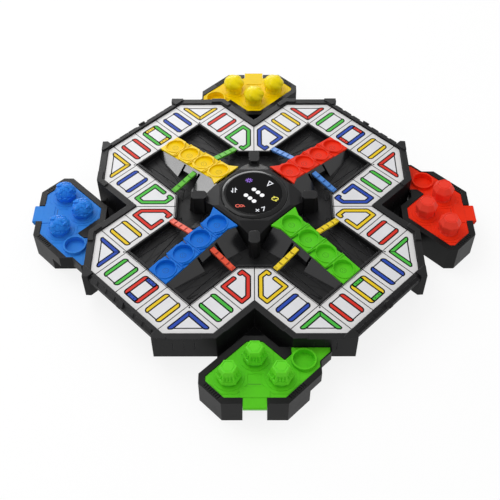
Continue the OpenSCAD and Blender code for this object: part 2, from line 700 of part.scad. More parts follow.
module screws() color("silver") arms() for (p = SPOTS) translate(p) {
    rod(head_r, head_z - 2, head_z);
    rod(screw_r, head_z - 1, boss_z + 9);
}
module feet() color("dimgray") arms() translate(FOOT) rod(pad_r, 0, foot_h + 1);

// trays

module insert_plan(g) difference() {
    polygon(insert_line(g));
    // the nook between the slanted back side and the shelf
    let (x = NOOK.x + g, c = NOOK.x - NOOK.y + diag * g, t = tray_back + diag * (rim_w + g), y = tray_back - 2)
        polygon([[x, x - c], [x, -y], [y - t, -y], [(c - t) / 2, -(c + t) / 2]]);
}
module tray(c) color(BLACK) corner_of(c) difference() {
    slab(0, rim_z) polygon(tray_line());
    // past the deep body there is only the shelf
    block(deep_x, 2 * shelf_x, -tray_out, 1 - tray_in, -1, tray_h - shelf_t);
    slab(insert_z, rim_z + 1) insert_plan(0);
    // room under the insert, clear of the shelf and of the finger notch
    difference() {
        slab(wall, insert_z + 1) polygon(inset(tray_line(), [for (i = [0:10])
            i > 1 && i < 6 ? shelf_rim : rim_w + 2]));
        block(deep_x - wall, 2 * shelf_x, -tray_out, 0, 0, rim_z);
        block(-tray_half, shelf_x, -tray_in - wall, 0, 0, rim_z);
        block(-notch_half - wall, notch_half + wall, -tray_out - 1, notch_d + wall - tray_out, 0, rim_z);
    }
    block(-notch_half, notch_half, -tray_out - 1, notch_d - tray_out, -1, rim_z + 1);
    for (p = SEATS) translate(p) rod(foot_r + run + cup_t + fit, cup_z - cup_t - fit, rim_z);
    translate(SPARE) rod(spare_r + cup_t + fit, cup_z - cup_t - fit, rim_z);
    // grip slots on the rim
    for (m = [0, 1]) mirror([m, 0, 0]) translate([-(tray_half + tray_front) / 2,
        (tray_half + tray_front) / 2 - front_sum, rim_z]) rotate(-45)
            for (i = [-3.5:3.5]) translate([2.5 * i, rim_w / 2 + 0.4, 0])
                cube([1.2, rim_w - 2, 1.6], center = true);
}
module insert(c) color(PAINT[c]) corner_of(c) difference() {
    lip = -tray_out - tab_out;
    pad = notch_d - tray_out;
    union() {
        slab(insert_z, tray_h) insert_plan(fit);
        // finger tab over the notch
        across(-tab_w / 2, tab_w / 2) polygon([[pad, insert_z], [rim_w + 1 - tray_out, insert_z],
            [1 - tray_out, tray_h - tab_t], [lip + 1.4, tray_h - tab_t], [lip, tray_h - 0.9],
            [lip + 0.9, tray_h], [pad, tray_h]]);
        // low plate at the root of the tab, pads and rings round the pieces
        slab(insert_z, tray_h + 0.5) polygon([[-tab_w / 2 - 2.6, rim_w + fit - tray_out],
            [tab_w / 2 + 2.6, rim_w + fit - tray_out], [tab_w / 2 + 2.6, pad], [tab_w / 2 - 1.2, pad + 4],
            [1.2 - tab_w / 2, pad + 4], [-tab_w / 2 - 2.6, pad]]);
        intersection() {
            slab(insert_z, tray_h + 2) insert_plan(1);
            for (p = SEATS) translate(p) {
                rotate(22.5) rod(18, insert_z, tray_h + 0.4, $fn = 8);
                rod(14, insert_z, tray_h + 0.9);
            }
        }
        for (p = SEATS) translate(p) rod(foot_r + run + cup_t, cup_z - cup_t, tray_h);
        translate(SPARE) rod(spare_r + cup_t, cup_z - cup_t, tray_h + spare_up);
    }
    for (p = SEATS) translate(p) rod(foot_r + run, tray_h - seat_d, tray_h + 9);
    translate(SPARE) rod(spare_r, cup_z, tray_h + 9);
}

// playing pieces: a foot, a neck and a dome with a flat crown, cut in four ways

dome_z = 10;
waist_r = foot_r - 1;
module piece_body() rotate_extrude() polygon(concat(
    [[0, 0], [foot_r - 0.6, 0], [foot_r, 0.6], [foot_r, 2.6], [waist_r, 3.6], [waist_r, 4.6],
     [dome_r, dome_z - 1.5]],
    [for (t = [0:15:90]) [crown_r + (dome_r - crown_r) * cos(t), dome_z + (piece_h - dome_z - 0.6) * sin(t)]],
    [[crown_r - 0.6, piece_h], [0, piece_h]]));
// what lies outside a plane at the distance r, leaning in by tilt
module facet(a, r, z, tilt) rotate(a) translate([r, 0, z]) rotate([0, -tilt, 0]) translate([0, -20, -9])
    cube([20, 40, 40]);
// blue: a rough rock of uneven faces
module rock() difference() {
    piece_body();
    for (i = [0:5]) facet(60 * i + 14 * sin(160 * i), dome_r - 1, dome_z + 2, 14 + 4 * sin(110 * i));
    for (i = [0:4]) facet(36 + 72 * i + 9 * sin(70 * i), dome_r - 2.8, piece_h - 5, 40 + 3 * sin(200 * i));
}
// green: eight broad flats from the crown to the rim, with upright slots under them
module turret() difference() {
    piece_body();
    lean = atan((dome_r - crown_r - 0.9) / (piece_h - dome_z - 1));
    for (i = [0:7]) facet(45 * i, dome_r - 0.9, dome_z + 1, lean);
    for (i = [0:7]) rotate(45 * i + 22.5) translate([dome_r - 0.4, 0, dome_z - 2.5])
        cube([2.4, 1.6, 5], center = true);
}
// red: a cut stone with three rows of facets
module gem() difference() {
    piece_body();
    for (i = [0:7]) facet(45 * i, dome_r - 0.9, dome_z, 6);
    for (i = [0:7]) facet(45 * i + 22.5, dome_r - 1.9, dome_z + 4, 28);
    for (i = [0:7]) facet(45 * i, crown_r + 2.4, piece_h - 2.6, 42);
}
// yellow: a dome wound with slanting flutes
module swirl() difference() {
    piece_body();
    for (i = [0:8]) rotate(40 * i) translate([dome_r + 0.7, 0, dome_z + 2]) rotate([36, -30, 0])
        cylinder(r = 1.9, h = 30, center = true, $fn = 16);
}
// every piece of a colour stands the same way round
TURN = [20, 22.5, 0, 10];
module pawn(c, i) color(PAINT[c]) corner_of(c) translate([SEATS[i - 1].x, SEATS[i - 1].y, cup_z + 0.1])
    rotate(TURN[c]) {
        if (c == BLUE) rock();
        if (c == GREEN) turret();
        if (c == RED) gem();
        if (c == YELLOW) swirl();
    }

top_housing();
end_rails();
base_housing();
track(BLUE);  // track_blue
track(GREEN);  // track_green
track(RED);  // track_red
track(YELLOW);  // track_yellow
marks(BLUE);  // marks_blue
marks(GREEN);  // marks_green
marks(RED);  // marks_red
marks(YELLOW);  // marks_yellow
ramp_carriers();
ramp(BLUE);  // ramp_blue
ramp(GREEN);  // ramp_green
ramp(RED);  // ramp_red
ramp(YELLOW);  // ramp_yellow
bridges(BLUE);  // bridges_blue
bridges(GREEN);  // bridges_green
bridges(RED);  // bridges_red
bridges(YELLOW);  // bridges_yellow
hub_housing();
button_ring();
display_glass();
display_board();
roll_switch();
main_board();
speaker();
batteries();
battery_contacts();
battery_cover();
power_switch();
screws();
feet();
tray(BLUE);  // tray_blue
tray(GREEN);  // tray_green
tray(RED);  // tray_red
tray(YELLOW);  // tray_yellow
insert(BLUE);  // insert_blue
insert(GREEN);  // insert_green
insert(RED);  // insert_red
insert(YELLOW);  // insert_yellow
pawn(BLUE, 1);  // pawn_blue_1
pawn(BLUE, 2);  // pawn_blue_2
pawn(BLUE, 3);  // pawn_blue_3
pawn(GREEN, 1);  // pawn_green_1
pawn(GREEN, 2);  // pawn_green_2
pawn(GREEN, 3);  // pawn_green_3
pawn(RED, 1);  // pawn_red_1
pawn(RED, 2);  // pawn_red_2
pawn(RED, 3);  // pawn_red_3
pawn(YELLOW, 1);  // pawn_yellow_1
pawn(YELLOW, 2);  // pawn_yellow_2
pawn(YELLOW, 3);  // pawn_yellow_3
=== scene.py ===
# %% [markdown]
# # Dressing an electronic ludo game
# The board is a cross of black mouldings with white plates let into it, and a round roll
# button stands in the middle. Every shape that moves or carries another is already in the
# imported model, so this lesson only adds what a maker would print, paint, polish or carve
# finely. Points are written in millimetres, in the frame of the model, and the factor MM
# turns them into metres.

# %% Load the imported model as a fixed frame
import math
import bpy
from mathutils import Matrix, Vector, noise
from mathutils.bvhtree import BVHTree


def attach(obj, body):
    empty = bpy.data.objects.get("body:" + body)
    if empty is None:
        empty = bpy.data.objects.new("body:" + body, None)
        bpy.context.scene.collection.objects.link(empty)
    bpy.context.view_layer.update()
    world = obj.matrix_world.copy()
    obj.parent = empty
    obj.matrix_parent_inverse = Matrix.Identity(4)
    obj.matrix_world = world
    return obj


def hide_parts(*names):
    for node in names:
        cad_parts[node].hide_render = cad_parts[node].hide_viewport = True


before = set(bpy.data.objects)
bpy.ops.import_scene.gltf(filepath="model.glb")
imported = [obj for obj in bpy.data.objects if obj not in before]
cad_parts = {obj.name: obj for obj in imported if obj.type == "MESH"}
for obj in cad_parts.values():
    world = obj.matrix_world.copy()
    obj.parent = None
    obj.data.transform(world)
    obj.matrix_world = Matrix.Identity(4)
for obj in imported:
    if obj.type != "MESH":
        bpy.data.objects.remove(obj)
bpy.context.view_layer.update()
scene = bpy.context.scene
MM = 0.001
COLOURS = ["blue", "green", "red", "yellow"]

# %% [markdown]
# ## The camera
# The photograph looks down on the board at fifty degrees, along a diagonal, so that one
# cut corner points at the viewer. The camera was solved from eight corners of the track,
# whose places on the model are known. A longish lens keeps the far arms nearly as large
# as the near ones.

# %% Place the camera
LENS, SENSOR_WIDTH = 62.30, 36.0
CAMERA_PLACE = (0.42127, -0.42479, 0.68513)
HEADING, TILT, ROLL = 45.183, 39.911, -0.2179

camera = bpy.data.objects.new("camera", bpy.data.cameras.new("camera"))
camera.data.lens = LENS
camera.data.sensor_width = SENSOR_WIDTH
camera.matrix_world = (Matrix.Translation(CAMERA_PLACE)
                       @ Matrix.Rotation(math.radians(HEADING), 4, "Z")
                       @ Matrix.Rotation(math.radians(TILT), 4, "X")
                       @ Matrix.Rotation(math.radians(ROLL), 4, "Z"))
scene.collection.objects.link(camera)
scene.camera = camera
scene.view_settings.view_transform = "Standard"
print("camera", round(camera.location.length, 3), "m from the middle of the board")

# %% [markdown]
# ## Writing shaders as sums
# A finish is a handful of formulas: how dark the grain is here, how rough the edge is
# there. Nodes wired by hand hide those formulas, so a small class wraps a node's output
# and lets Python's operators add the Math nodes. Everything else comes from one method
# that takes a node's type, its settings and its inputs.

# %% A socket that does arithmetic
class Value:
    """An output of a node in a finish. Operators on it add Math nodes to that finish."""

    def __init__(self, finish, socket):
        self.finish = finish
        self.socket = socket

    def maths(self, operation, *others):
        return self.finish.node("Math", {"operation": operation}, dict(enumerate([self, *others])))

    def __add__(self, other):
        return self.maths("ADD", other)

    def __sub__(self, other):
        return self.maths("SUBTRACT", other)

    def __rsub__(self, other):
        return (self * -1.0) + other

    def __mul__(self, other):
        return self.maths("MULTIPLY", other)

    __radd__ = __add__
    __rmul__ = __mul__

    def clipped(self):
        return self.maths("MINIMUM", 1.0).maths("MAXIMUM", 0.0)


# %% A finish, made of nodes
class Finish:
    """A material, or the world, built from nodes and ending in one shader."""

    def __init__(self, name, kind=bpy.data.materials):
        self.owner = kind.new(name)
        self.owner.use_nodes = True
        self.tree = self.owner.node_tree
        self.tree.nodes.clear()

    def node(self, kind, settings=None, inputs=None, output=0):
        made = self.tree.nodes.new("ShaderNode" + kind)
        for name, value in (settings or {}).items():
            setattr(made, name, value)
        for name, value in (inputs or {}).items():
            if isinstance(value, Value):
                self.tree.links.new(value.socket, made.inputs[name])
            elif hasattr(value, "__len__") and len(made.inputs[name].default_value) == 4:
                made.inputs[name].default_value = (*value, 1.0)
            else:
                made.inputs[name].default_value = value
        return Value(self, made.outputs[output]) if made.outputs else None

    def noise(self, size, detail=2.0):
        """A smooth random value whose patches are about size millimetres across."""
        place = self.node("TexCoord", output="Object")
        return self.node("TexNoise", {}, {"Vector": place, "Scale": 1.0 / (size * MM), "Detail": detail})

    def mix(self, amount, first, second):
        return self.node("Mix", {"data_type": "RGBA"}, {0: amount, 6: first, 7: second}, output=2)

    def mix_shaders(self, amount, first, second):
        return self.node("MixShader", {}, {0: amount, 1: first, 2: second})

    def rounded(self, radius):
        """The normal as if every edge were rounded, and a mask of those edges."""
        soft = self.node("Bevel", {"samples": 4}, {"Radius": radius * MM})
        hard = self.node("NewGeometry", output="Normal")
        dot = self.node("VectorMath", {"operation": "DOT_PRODUCT"}, {0: soft, 1: hard}, output="Value")
        return soft, ((1.0 - dot) * EDGE_CONTRAST).clipped()

    def bump(self, height, depth, normal):
        return self.node("Bump", {}, {"Height": height, "Distance": depth * MM, "Strength": 1.0,
                                      "Normal": normal})

    def seen_directly(self):
        """1 where a ray comes from the camera, a reflection or glass, and 0 for light."""
        total = self.node("LightPath", output="Is Camera Ray")
        for kind in ("Is Glossy Ray", "Is Transmission Ray"):
            total = total.maths("MAXIMUM", self.node("LightPath", output=kind))
        return total

    def done(self, shader, end="OutputMaterial"):
        self.node(end, {}, {"Surface": shader})
        return self.owner


EDGE_CONTRAST = 3.4
print("two classes, for values and for finishes")

# %% [markdown]
# ## Colours
# Blender counts in amounts of light, but a colour picker shows how bright a screen makes
# it, from 0 to 255, which is what an eye compares with a photograph. The colours here are
# written as a screen shows them, and one function turns them into light.

# %% Screen colours as light
def photo(red, green, blue):
    """A colour read off a screen, 0 to 255, as the light that it stands for."""
    return tuple((c / 255 / 12.92) if c <= 10 else ((c / 255 + 0.055) / 1.055) ** 2.4
                 for c in (red, green, blue))


def shade(colour, amount):
    """A colour with its light multiplied, and no channel above 1."""
    return tuple(min(1.0, c * amount) for c in colour)


print("a mid grey of 128 is", round(photo(128, 128, 128)[0], 3), "in light")

# %% [markdown]
# ## Moulded plastic
# All the big parts are injection mouldings. The steel mould is spark-eroded, which leaves
# a fine grain, and the plastic flows, which leaves faint clouds in its gloss. Handling
# polishes the grain off the edges, and the edges also get a tone of their own, which on most
# parts is lighter: a painted highlight where an edge catches the light. One recipe has all
# three, and each part only changes the colour, the gloss and how strong the grain is.

# %% The recipe of a moulded part
CLOUD_SIZE, SPECKLE_SIZE, RUB_SIZE = 14.0, 0.45, 5.0
CLOUD_DARK, CLOUD_LIGHT, SPECKLE_LIGHT = 0.93, 1.07, 1.25


def moulded(name, colour, gloss, grain=0.03, wear=0.25, worn_and_sheen=1.6, radius=0.4, shine=0.5, metal=0.0):
    """A material: gloss is its roughness, grain its depth and radius that of its edges, in mm."""
    f = Finish(name)
    soft, edge = f.rounded(radius)
    clouds = f.noise(CLOUD_SIZE, 3.0)
    speckle = f.noise(SPECKLE_SIZE, 1.0)
    rubbed_and_sheen = (edge * (f.noise(RUB_SIZE, 4.0) * 2.0 - 0.4).clipped() * wear).clipped()
    tone = f.mix(clouds, shade(colour, CLOUD_DARK), shade(colour, CLOUD_LIGHT))
    tone = f.mix((speckle - 0.5).clipped() * 0.35, tone, shade(colour, SPECKLE_LIGHT))
    # The edge tone: where it is above 1 it paints a highlight on the edges.
    tone = f.mix(rubbed_and_sheen, tone, shade(colour, worn_and_sheen))
    rough = gloss + (clouds - 0.5) * 0.10 + (speckle - 0.5) * 0.06 - rubbed_and_sheen * 0.12
    plastic = f.node("BsdfPrincipled", {}, {
        "Base Color": tone, "Roughness": rough, "Normal": f.bump(speckle, grain, soft),
        "Specular IOR Level": shine, "Metallic": metal})
    return f.done(plastic)


print("one recipe for every moulding")

# %% [markdown]
# ## Black mouldings
# The board, the hub and the trays are black, but none of them is quite the same black. The
# hub is a little glossier than the board, the carriers under the ramps are polished, and
# the near-black laid in grooves and seams is painted shade. The edges are polished smooth,
# and their tone is painted many times brighter than the faces, a painted highlight where
# they catch the light.

# %% Black mouldings, grained and polished
# Edge tones of 6 to 8 paint the edges of the blacks many times lighter: a painted highlight.
black_housing = moulded("black_housing", photo(25, 25, 26), 0.42, wear=1.0, worn_and_sheen=8.0,
                        radius=0.7, shine=0.12)
hub_black = moulded("hub_black", photo(27, 27, 28), 0.32, grain=0.02, wear=1.0, worn_and_sheen=6.0,
                    radius=0.9, shine=0.12)
carrier_black = moulded("dark_housing", photo(26, 26, 28), 0.20, grain=0.006, wear=0.4, worn_and_sheen=2.0)
tray_black = moulded("tray_black", photo(15, 15, 15), 0.40, wear=0.9, worn_and_sheen=8.0,
                     radius=0.6, shine=0.12)
# Near-black for seams, grooves and the lip line: painted shade of what lies deep in them.
painted_groove_shade = moulded("painted_groove_shade", photo(9, 9, 10), 0.6, grain=0.01, wear=0.0,
                       radius=0.05, shine=0.1)
print("five blacks mixed")

# %% [markdown]
# ## White plates and print
# The plates are a warm, slightly satin white. The windows inside the frames of bars are
# printed on them in a cooler and glossier white, and the outlines in black ink, which is
# dull. Print has no grain of its own and no worn edges.

# %% White plates, windows and ink
PRINT_EDGE = 0.05
# On the plates the edge tone is below 1, so their edges are a little darker.
white_plates = moulded("white_plates", photo(224, 223, 223), 0.38, grain=0.01, wear=0.4,
                       worn_and_sheen=0.78, radius=0.3, shine=0.4)
window_print = moulded("window_print", photo(227, 227, 230), 0.30, grain=0.004, wear=0.0,
                       radius=PRINT_EDGE, shine=0.4)
black_ink = moulded("black_ink", photo(6, 6, 7), 0.55, grain=0.004, wear=0.0,
                    radius=PRINT_EDGE, shine=0.05)
print("plates and print mixed")

# %% [markdown]
# ## The four colours
# Each player's colour comes in several plastics. The ramps and the inserts of the trays
# are the strongest, and the bars in the plates are duller. The bridge bars beside the ramps
# are painted paler, a painted reflection of light on them, and the playing pieces are painted
# a little brighter than what they stand on, as painted light. A table of screen colours keeps
# them side by side, in the order of COLOURS.

# %% The coloured parts
# The bridge and piece rows are lighter than the ramps: painted reflection on the bridges, painted light on the
# pieces.
TONES = {"ramp": [(20, 115, 216), (92, 206, 34), (243, 52, 24), (250, 212, 2)],
         "insert": [(52, 136, 226), (92, 206, 34), (243, 52, 24), (250, 212, 2)],
         "piece": [(42, 134, 236), (104, 222, 44), (248, 66, 48), (255, 226, 14)],
         "bridge": [(84, 142, 220), (104, 196, 62), (240, 92, 66), (246, 214, 40)],
         "print": [(46, 78, 180), (78, 192, 70), (222, 54, 42), (240, 204, 40)]}
# Edge tones above 1 paint the edges of the coloured parts lighter: a painted highlight.
RECIPES = {"ramp": dict(gloss=0.34, grain=0.008, wear=0.5, worn_and_sheen=1.3, shine=0.08),
           "insert": dict(gloss=0.36, grain=0.012, wear=0.5, worn_and_sheen=1.3, shine=0.06),
           "piece": dict(gloss=0.30, grain=0.006, wear=0.8, worn_and_sheen=1.45, radius=0.3, shine=0.09),
           "bridge": dict(gloss=0.34, grain=0.008, wear=0.5, worn_and_sheen=1.3, shine=0.12),
           "print": dict(gloss=0.35, grain=0.006, wear=0.0, radius=PRINT_EDGE, shine=0.08)}
LINE_RECIPE = dict(gloss=0.4, grain=0.004, wear=0.0, radius=PRINT_EDGE, shine=0.2)
PAINTED_ENGRAVING_SHADE = 0.42

finish = {}
for part, recipe in RECIPES.items():
    for c, tone in zip(COLOURS, TONES[part]):
        finish[part, c] = moulded(f"{c}_{part}", photo(*tone), **recipe)
# Each ramp colour also gets a darker copy, for the studs and for the engraved rings and dots, where the
# darkness is painted shade.
for c, tone in zip(COLOURS, TONES["ramp"]):
    finish["line", c] = moulded(c + "_groove", shade(photo(*tone), PAINTED_ENGRAVING_SHADE), **LINE_RECIPE)
print(len(finish), "coloured finishes")

# %% [markdown]
# ## Glass, metal, rubber and boards
# These parts are small or hidden, but a reader who turns the game over meets the steel
# screws, the rubber feet and the grille first, so they get finishes of their own.

# %% The hidden and half hidden parts
smoked_glass = moulded("smoked_glass", photo(10, 10, 11), 0.10, grain=0.0, wear=0.0,
                       radius=0.2, shine=0.08)
ring_black = moulded("ring_black", photo(12, 12, 13), 0.10, grain=0.0, wear=0.0,
                     radius=0.3, shine=0.22)
steel = moulded("steel", photo(176, 176, 180), 0.32, grain=0.004, wear=0.3, worn_and_sheen=1.2, metal=1.0)
foot_rubber = moulded("foot_rubber", photo(40, 40, 41), 0.82, grain=0.06, wear=0.3)
circuit_board = moulded("circuit_board", photo(24, 84, 54), 0.35, grain=0.01, wear=0.0)
component = moulded("component", photo(58, 58, 60), 0.5, grain=0.02)
print(len(bpy.data.materials), "finishes mixed")

# %% Give every CAD node its finish
DRESS = {"top_housing": black_housing, "end_rails": black_housing, "base_housing": black_housing,
         "ramp_carriers": carrier_black, "hub_housing": hub_black,
         "button_ring": ring_black, "display_glass": smoked_glass, "display_board": circuit_board,
         "roll_switch": component, "main_board": circuit_board, "speaker": component,
         "batteries": steel, "battery_contacts": steel, "battery_cover": black_housing,
         "power_switch": component, "screws": steel, "feet": foot_rubber}
for c in COLOURS:
    DRESS["track_" + c] = white_plates
    DRESS["marks_" + c] = finish["print", c]
    DRESS["ramp_" + c] = finish["ramp", c]
    DRESS["bridges_" + c] = finish["bridge", c]
    DRESS["tray_" + c] = tray_black
    DRESS["insert_" + c] = finish["insert", c]
    for i in (1, 2, 3):
        DRESS[f"pawn_{c}_{i}"] = finish["piece", c]
for name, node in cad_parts.items():
    for slot in node.material_slots:
        slot.material = DRESS[name]
print("dressed", len(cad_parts), "nodes; left out:", sorted(set(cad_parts) - set(DRESS)))

# %% [markdown]
# ## The studio
# A product photograph like this one is lit through large diffusers, and cut out on white.
# The world is white for the camera and for reflections, and dimmer for light. One broad
# lamp stands over the board on the left and gives the plates their slow fall-off. Two
# more only show in reflections: one makes the streaks on the polished flanks, and one,
# low behind the board, draws the light arc on the rim of the roll button.

# %% The world
WHITE = (1.0, 1.0, 1.0)
WORLD_LIGHT, WORLD_SEEN = 0.62, 1.0

studio = Finish("studio", bpy.data.worlds)
dim = studio.node("Background", {}, {"Color": WHITE, "Strength": WORLD_LIGHT})
bright = studio.node("Background", {}, {"Color": WHITE, "Strength": WORLD_SEEN})
scene.world = studio.done(studio.mix_shaders(studio.seen_directly(), dim, bright), "OutputWorld")
print("a white world that lights at", WORLD_LIGHT)

# %% The lamps
LAMPS = {
    "key_light": dict(place=(-0.9, -0.1, 1.3), aim=(0, 0, 0), size=(1.2, 1.2), power=10.0),
    "streak_light": dict(place=(-1.07, -1.03, 0.58), aim=(-0.1, -0.02, 0.04), size=(0.6, 0.6), power=10.0),
    "rim_light": dict(place=(-1.18, 0.737, 0.61), aim=(0, 0, 0.05), size=(1.0, 0.75), power=19.0)}


def soft_lamp(name, place, aim, size, power):
    """A rectangular lamp that faces a point."""
    lamp = bpy.data.lights.new(name, "AREA")
    lamp.shape = "RECTANGLE"
    lamp.size, lamp.size_y = size
    lamp.energy = power
    holder = bpy.data.objects.new(name, lamp)
    holder.location = place
    holder.rotation_euler = (Vector(aim) - Vector(place)).to_track_quat("-Z", "Y").to_euler()
    scene.collection.objects.link(holder)
    return holder


for name, settings in LAMPS.items():
    soft_lamp(name, **settings).visible_diffuse = name == "key_light"
print(len(LAMPS), "lamps")

# %% [markdown]
# ## The floor
# The game stands on white paper, of which the photograph shows nothing but a faint shadow.
# A floor that only glowed would lose that shadow, and one that was only lit would turn
# grey. So a camera ray sees four fifths of a white glow and one fifth of lit paper.

# %% The floor
FLOOR_HALF, FLOOR_GLOW, GLOW_SHARE = 4, 1.05, 0.8

paper = Finish("studio_floor")
tint = paper.mix(paper.noise(60.0), (0.90, 0.90, 0.90), (0.92, 0.92, 0.92))
lit = paper.node("BsdfDiffuse", {}, {"Color": tint})
glow = paper.node("Emission", {}, {"Color": WHITE, "Strength": FLOOR_GLOW})
mesh = bpy.data.meshes.new("floor")
mesh.from_pydata([(x * FLOOR_HALF, y * FLOOR_HALF, 0) for x, y in ((-1, -1), (1, -1), (1, 1), (-1, 1))],
                 [], [(0, 1, 2, 3)])
mesh.materials.append(paper.done(paper.mix_shaders(paper.seen_directly() * GLOW_SHARE, lit, glow)))
floor = bpy.data.objects.new("floor", mesh)
scene.collection.objects.link(floor)
print("floor laid at the table's height")

# %% [markdown]
# ## Thin pieces from points
# Most of what follows is thin: ink, seams, grooves and signs. Each is a strip along a path
# or a plate with an outline, drawn in plan and given a little height. Strips in the same
# finish are joined into one piece, which rides on the body that carries them, so that it
# moves with that body.

# %% One piece from many solids
def make_piece(name, solids, material, body, slot):
    """One mesh from several (points, faces) solids, dressed and riding on a body."""
    points, faces = [], []
    for some_points, some_faces in solids:
        faces += [tuple(i + len(points) for i in face) for face in some_faces]
        points += [Vector(p) * MM for p in some_points]
    mesh = bpy.data.meshes.new(name)
    mesh.from_pydata(points, [], faces)
    mesh.validate()
    mesh.materials.append(material)
    piece = bpy.data.objects.new(name, mesh)
    scene.collection.objects.link(piece)
    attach(piece, body)
    return piece


# %% Strips
SHARPEST = 0.35


def ribbon(path, width, low, high, closed=True, outward=0.0):
    """A flat strip along a path in plan, with mitred corners, shifted to its right by outward."""
    path = [Vector(p[:2]) for p in path]
    n = len(path)
    points = []
    for i, p in enumerate(path):
        before = path[i - 1] if closed or i > 0 else p - (path[1] - p)
        after = path[(i + 1) % n] if closed or i < n - 1 else p + (p - path[-2])
        a, b = (p - before).normalized(), (after - p).normalized()
        side = Vector((-a.y - b.y, a.x + b.x)).normalized()
        stretch = 1.0 / max(SHARPEST, side.dot(Vector((-a.y, a.x))))
        left = p + side * (width / 2 - outward) * stretch
        right = p - side * (width / 2 + outward) * stretch
        points += [(*left, low), (*left, high), (*right, high), (*right, low)]
    faces = []
    for i in range(n if closed else n - 1):
        a, b = 4 * i, 4 * ((i + 1) % n)
        faces += [(a + j, b + j, b + (j + 1) % 4, a + (j + 1) % 4) for j in range(4)]
    if not closed:
        e = 4 * (n - 1)
        faces += [(0, 1, 2, 3), (e + 3, e + 2, e + 1, e)]
    return points, faces


# %% Plates and discs
def sheet_of(outline, low, high):
    """A thin plate with the given outline."""
    n = len(outline)
    points = [(p[0], p[1], low) for p in outline] + [(p[0], p[1], high) for p in outline]
    faces = [tuple(range(n - 1, -1, -1)), tuple(range(n, 2 * n))]
    faces += [(i, (i + 1) % n, n + (i + 1) % n, n + i) for i in range(n)]
    return points, faces


def oval(x, y, radius_x, radius_y, sides, start=0.0):
    """Points round a centre, anticlockwise, the first at the angle start."""
    return [(x + radius_x * math.cos(t), y + radius_y * math.sin(t))
            for t in (2 * math.pi * i / sides + start for i in range(sides))]


def disc(x, y, radius, low, high, sides=24):
    return sheet_of(oval(x, y, radius, radius, sides), low, high)


print("strips, plates and discs can be made")

# %% [markdown]
# ## Printed outlines
# The coloured bars lie flush in the plates, and the printer outlined each one in black.
# The outlines could be typed in again, but then they could drift from the bars. It is
# safer to trace the top edges of the bars themselves: an edge between two faces of the
# top is passed once each way and drops out, and what is left is the outline.

# %% Trace the top edges of a CAD node
LEVEL_SLACK, BEND_SLACK = 0.02, 0.01


def rims(node, height):
    """Closed outlines, in millimetres, of the flat top of a node at a height."""
    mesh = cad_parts[node].data
    spot = [tuple(round(c / MM, 3) for c in v.co) for v in mesh.vertices]
    after = {}
    for face in mesh.polygons:
        corners = [spot[i] for i in face.vertices]
        if all(abs(p[2] - height) < LEVEL_SLACK for p in corners):
            for a, b in zip(corners, corners[1:] + corners[:1]):
                if a in after.get(b, []):
                    after[b].remove(a)
                else:
                    after.setdefault(a, []).append(b)
    loops = []
    for start in list(after):
        while after.get(start):
            loop = [start]
            while True:
                following = after[loop[-1]].pop()
                if following == start:
                    break
                loop.append(following)
            loops.append(straightened(loop))
    return loops


def straightened(loop):
    """A loop without the points that lie on a straight line between their neighbours."""
    kept = []
    for i, p in enumerate(loop):
        a = Vector(p[:2]) - Vector(loop[i - 1][:2])
        b = Vector(loop[(i + 1) % len(loop)][:2]) - Vector(p[:2])
        if abs(a.cross(b)) > BEND_SLACK * a.length * b.length:
            kept.append(p)
    return kept


# %% Round the corners of an outline
BLUNT, NEARLY_STRAIGHT = math.radians(50), math.radians(85)
BLUNT_ROUND, SQUARE_ROUND, MOST_OF_SIDE = 3.0, 1.1, 0.45


def rounded_corners(loop, steps=4):
    """The outline with its outer corners rounded, and the slivers that this cuts off."""
    path, slivers = [], []
    n = len(loop)
    for i in range(n):
        p, a, b = (Vector(loop[j][:2]) for j in (i, i - 1, (i + 1) % n))
        back, on = (a - p), (b - p)
        half = back.angle(on) / 2
        if (p - a).cross(b - p) <= 0 or half > NEARLY_STRAIGHT:
            path.append(p)
            continue
        wish = BLUNT_ROUND if half > BLUNT else SQUARE_ROUND
        reach = min(wish / math.tan(half), MOST_OF_SIDE * back.length, MOST_OF_SIDE * on.length)
        radius = reach * math.tan(half)
        start = p + back.normalized() * reach
        centre = p + (back.normalized() + on.normalized()).normalized() * (radius / math.sin(half))
        first = math.atan2(start.y - centre.y, start.x - centre.x)
        sweep = math.pi - 2 * half
        turns = [first + sweep * j / steps for j in range(steps + 1)]
        arc = [centre + Vector((math.cos(t), math.sin(t))) * radius for t in turns]
        path += arc
        slivers.append([p] + arc[::-1])
    return path, slivers


# %% Ink round the bars
PLATE_Z = 39.0
INK = (PLATE_Z - 0.02, PLATE_Z + 0.05)
PRINT_Z = (PLATE_Z - 0.02, PLATE_Z + 0.02)
OUTLINE_W, OUTLINE_SHIFT = 1.35, 0.45

slivers = []
for c in COLOURS:
    paths = []
    for loop in rims("marks_" + c, PLATE_Z):
        path, cut = rounded_corners(loop)
        paths.append(ribbon(path, OUTLINE_W, *INK, outward=OUTLINE_SHIFT))
        slivers += [sheet_of(corner, *PRINT_Z) for corner in cut]
    make_piece("outlines_" + c, paths, black_ink, "board", "white_plates")
    print(c, "bars outlined:", len(paths))
make_piece("bar_corners", slivers, white_plates, "board", "white_plates")

# %% [markdown]
# ## The windows of the cells
# Inside each frame of bars lies a window of a cooler, glossier white, and where no bar
# closes it a thin black line does. The sizes are those of the track, so each cell is
# drawn once on the arm along +X and then turned to the others. On an arm, u runs out from
# the hub and v runs across.

# %% The plan of one arm, in millimetres
WELL_V, ARM_V, WELL_U, ARM_U, TIP_U = 45.0, 84.5, 130.0, 169.5, 100.0
LANE_MID, END_MID, FIRST_MID = (WELL_V + ARM_V) / 2, (WELL_U + ARM_U) / 2, 115
SIDE_CELL_V = 30
MARK_L, MARK_W, BAR_W, MARK_END = 19.6, 26.9, 3.4, 5.2


